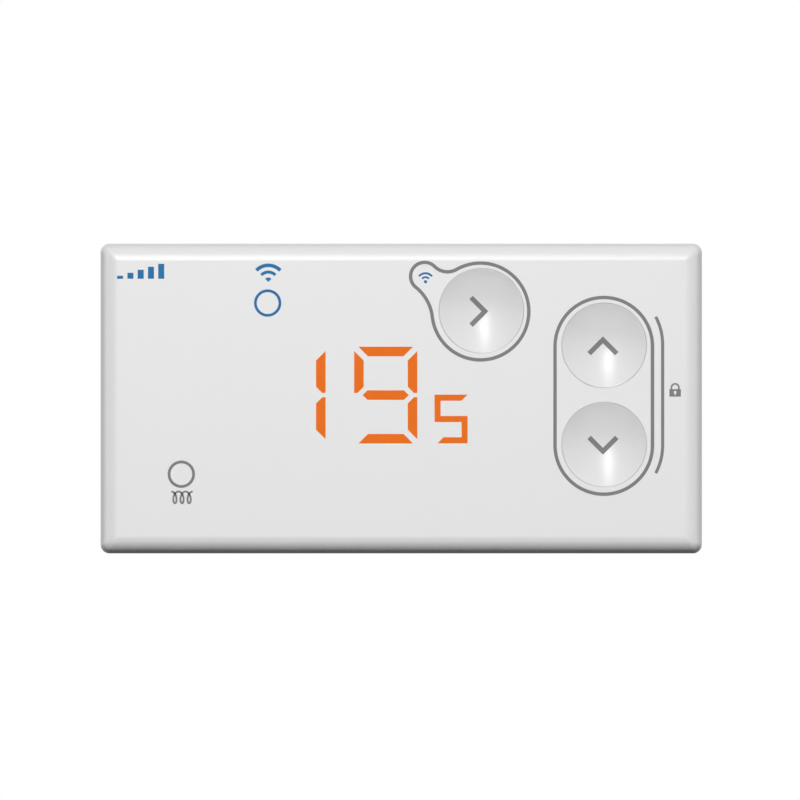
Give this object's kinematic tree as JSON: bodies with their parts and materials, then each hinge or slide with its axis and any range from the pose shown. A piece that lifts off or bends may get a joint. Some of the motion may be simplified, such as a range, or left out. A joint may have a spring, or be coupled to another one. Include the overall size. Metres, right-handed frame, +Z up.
{
  "type": "wall thermostat",
  "caption": "Slim wall thermostat: white two-part shell, dished push buttons, display behind the face, relay, and a screwed wall plate with mains terminals.",
  "frame": {"origin": "midway between the two wall screws, on the wall plate's back face", "axes": "+X to the right across the face, +Y into the wall, +Z up; the face looks along -Y"},
  "size_m": [0.12, 0.03, 0.0618],
  "materials": {
    "front_shell_white": "satin moulded white",
    "button_white": "satin moulded white",
    "cover_white": "fine spark-eroded texture",
    "plate_white": "fine spark-eroded texture",
    "terminal_grey": "matt flame-retardant nylon",
    "zinc_steel": "bright zinc plating",
    "cage_steel": "dull nickel plating",
    "contact_brass": "tinned brass",
    "board_green": "solder mask over copper",
    "relay_black": "moulded black",
    "relay_iron": "plated soft iron",
    "bobbin_ivory": "natural nylon",
    "copper_winding": "enamelled copper wire",
    "ferrite": "ground ferrite",
    "tape_yellow": "polyester tape",
    "film_capacitor": "moulded box",
    "varistor_blue": "dipped epoxy",
    "fuse_brown": "moulded case",
    "capacitor_sleeve": "shrunk sleeve",
    "clear_film": "polyester film",
    "sensor_black": "dipped epoxy bead",
    "lead_tin": "tinned wire",
    "reflector_white": "opaque white",
    "diffuser_orange": "milky diffuser lit orange",
    "led_yellow": "phosphor and clear resin",
    "light_pipe_clear": "clear acrylic",
    "radio_board_blue": "solder mask",
    "shield_tin": "tinned sheet",
    "chip_black": "moulded epoxy",
    "ceramic_tan": "fired ceramic",
    "switch_grey": "moulded switch body",
    "plunger_red": "moulded plunger"
  },
  "bodies": {
    "unit": {"wall_plate": "plate_white", "terminal_block": "terminal_grey", "terminal_screws": "zinc_steel", "terminal_cages": "cage_steel", "socket_contacts": "contact_brass", "retaining_screw": "zinc_steel", "rear_cover": "cover_white", "housing_screws": "zinc_steel", "fascia": "front_shell_white", "power_board": "board_green", "power_board_screws": "zinc_steel", "contact_blades": "contact_brass", "component_leads": "lead_tin", "relay_base": "relay_black", "relay_cover": "relay_black", "relay_core": "relay_iron", "relay_bobbin": "bobbin_ivory", "relay_coil": "copper_winding", "relay_fixed_contact": "contact_brass", "transformer_core": "ferrite", "transformer_bobbin": "relay_black", "transformer_winding": "tape_yellow", "mains_capacitor": "film_capacitor", "varistor": "varistor_blue", "fuse": "fuse_brown", "bulk_capacitors": "capacitor_sleeve", "insulation_sheet": "clear_film", "board_header": "contact_brass", "board_socket": "relay_black", "temperature_sensor": "sensor_black", "sensor_leads": "lead_tin", "display_board": "board_green", "display_board_screws": "zinc_steel", "display_reflector": "reflector_white", "segment_diffusers": "diffuser_orange", "display_leds": "led_yellow", "status_leds": "led_yellow", "status_light_pipes": "light_pipe_clear", "radio_board": "radio_board_blue", "radio_shield": "shield_tin", "microcontroller": "chip_black", "surface_mount_parts": "ceramic_tan", "select_switch": "switch_grey", "up_switch": "switch_grey", "down_switch": "switch_grey"},
    "select_cap": {"select_button": "button_white"},
    "up_cap": {"up_button": "button_white"},
    "down_cap": {"down_button": "button_white"},
    "select_stem": {"select_plunger": "plunger_red"},
    "up_stem": {"up_plunger": "plunger_red"},
    "down_stem": {"down_plunger": "plunger_red"},
    "relay_arm": {"relay_armature": "relay_iron", "relay_moving_contact": "contact_brass"}
  },
  "joints": [
    {"name": "select_press", "type": "slide", "parent": "unit", "child": "select_cap", "axis": [0, 1, 0], "range_m": [0, 0.0005], "stiffness_N_per_m": 1500, "springref_m": -0.0003},
    {"name": "select_plunger_press", "type": "slide", "parent": "unit", "child": "select_stem", "axis": [0, 1, 0], "range_m": [0, 0.0005]},
    {"name": "up_press", "type": "slide", "parent": "unit", "child": "up_cap", "axis": [0, 1, 0], "range_m": [0, 0.0005], "stiffness_N_per_m": 1500, "springref_m": -0.0003},
    {"name": "up_plunger_press", "type": "slide", "parent": "unit", "child": "up_stem", "axis": [0, 1, 0], "range_m": [0, 0.0005]},
    {"name": "down_press", "type": "slide", "parent": "unit", "child": "down_cap", "axis": [0, 1, 0], "range_m": [0, 0.0005], "stiffness_N_per_m": 1500, "springref_m": -0.0003},
    {"name": "down_plunger_press", "type": "slide", "parent": "unit", "child": "down_stem", "axis": [0, 1, 0], "range_m": [0, 0.0005]},
    {"name": "relay_armature_pull", "type": "hinge", "parent": "unit", "child": "relay_arm", "pos_m": [0.0304, -0.0156, 0], "axis": [0, 0, -1], "range_deg": [0, 4], "stiffness_Nm_per_rad": 0.02, "springref_deg": -2.86}
  ],
  "couplings": [
    {"joint": "select_plunger_press", "follows": "select_press", "ratio": 1},
    {"joint": "up_plunger_press", "follows": "up_press", "ratio": 1},
    {"joint": "down_plunger_press", "follows": "down_press", "ratio": 1}
  ]
}
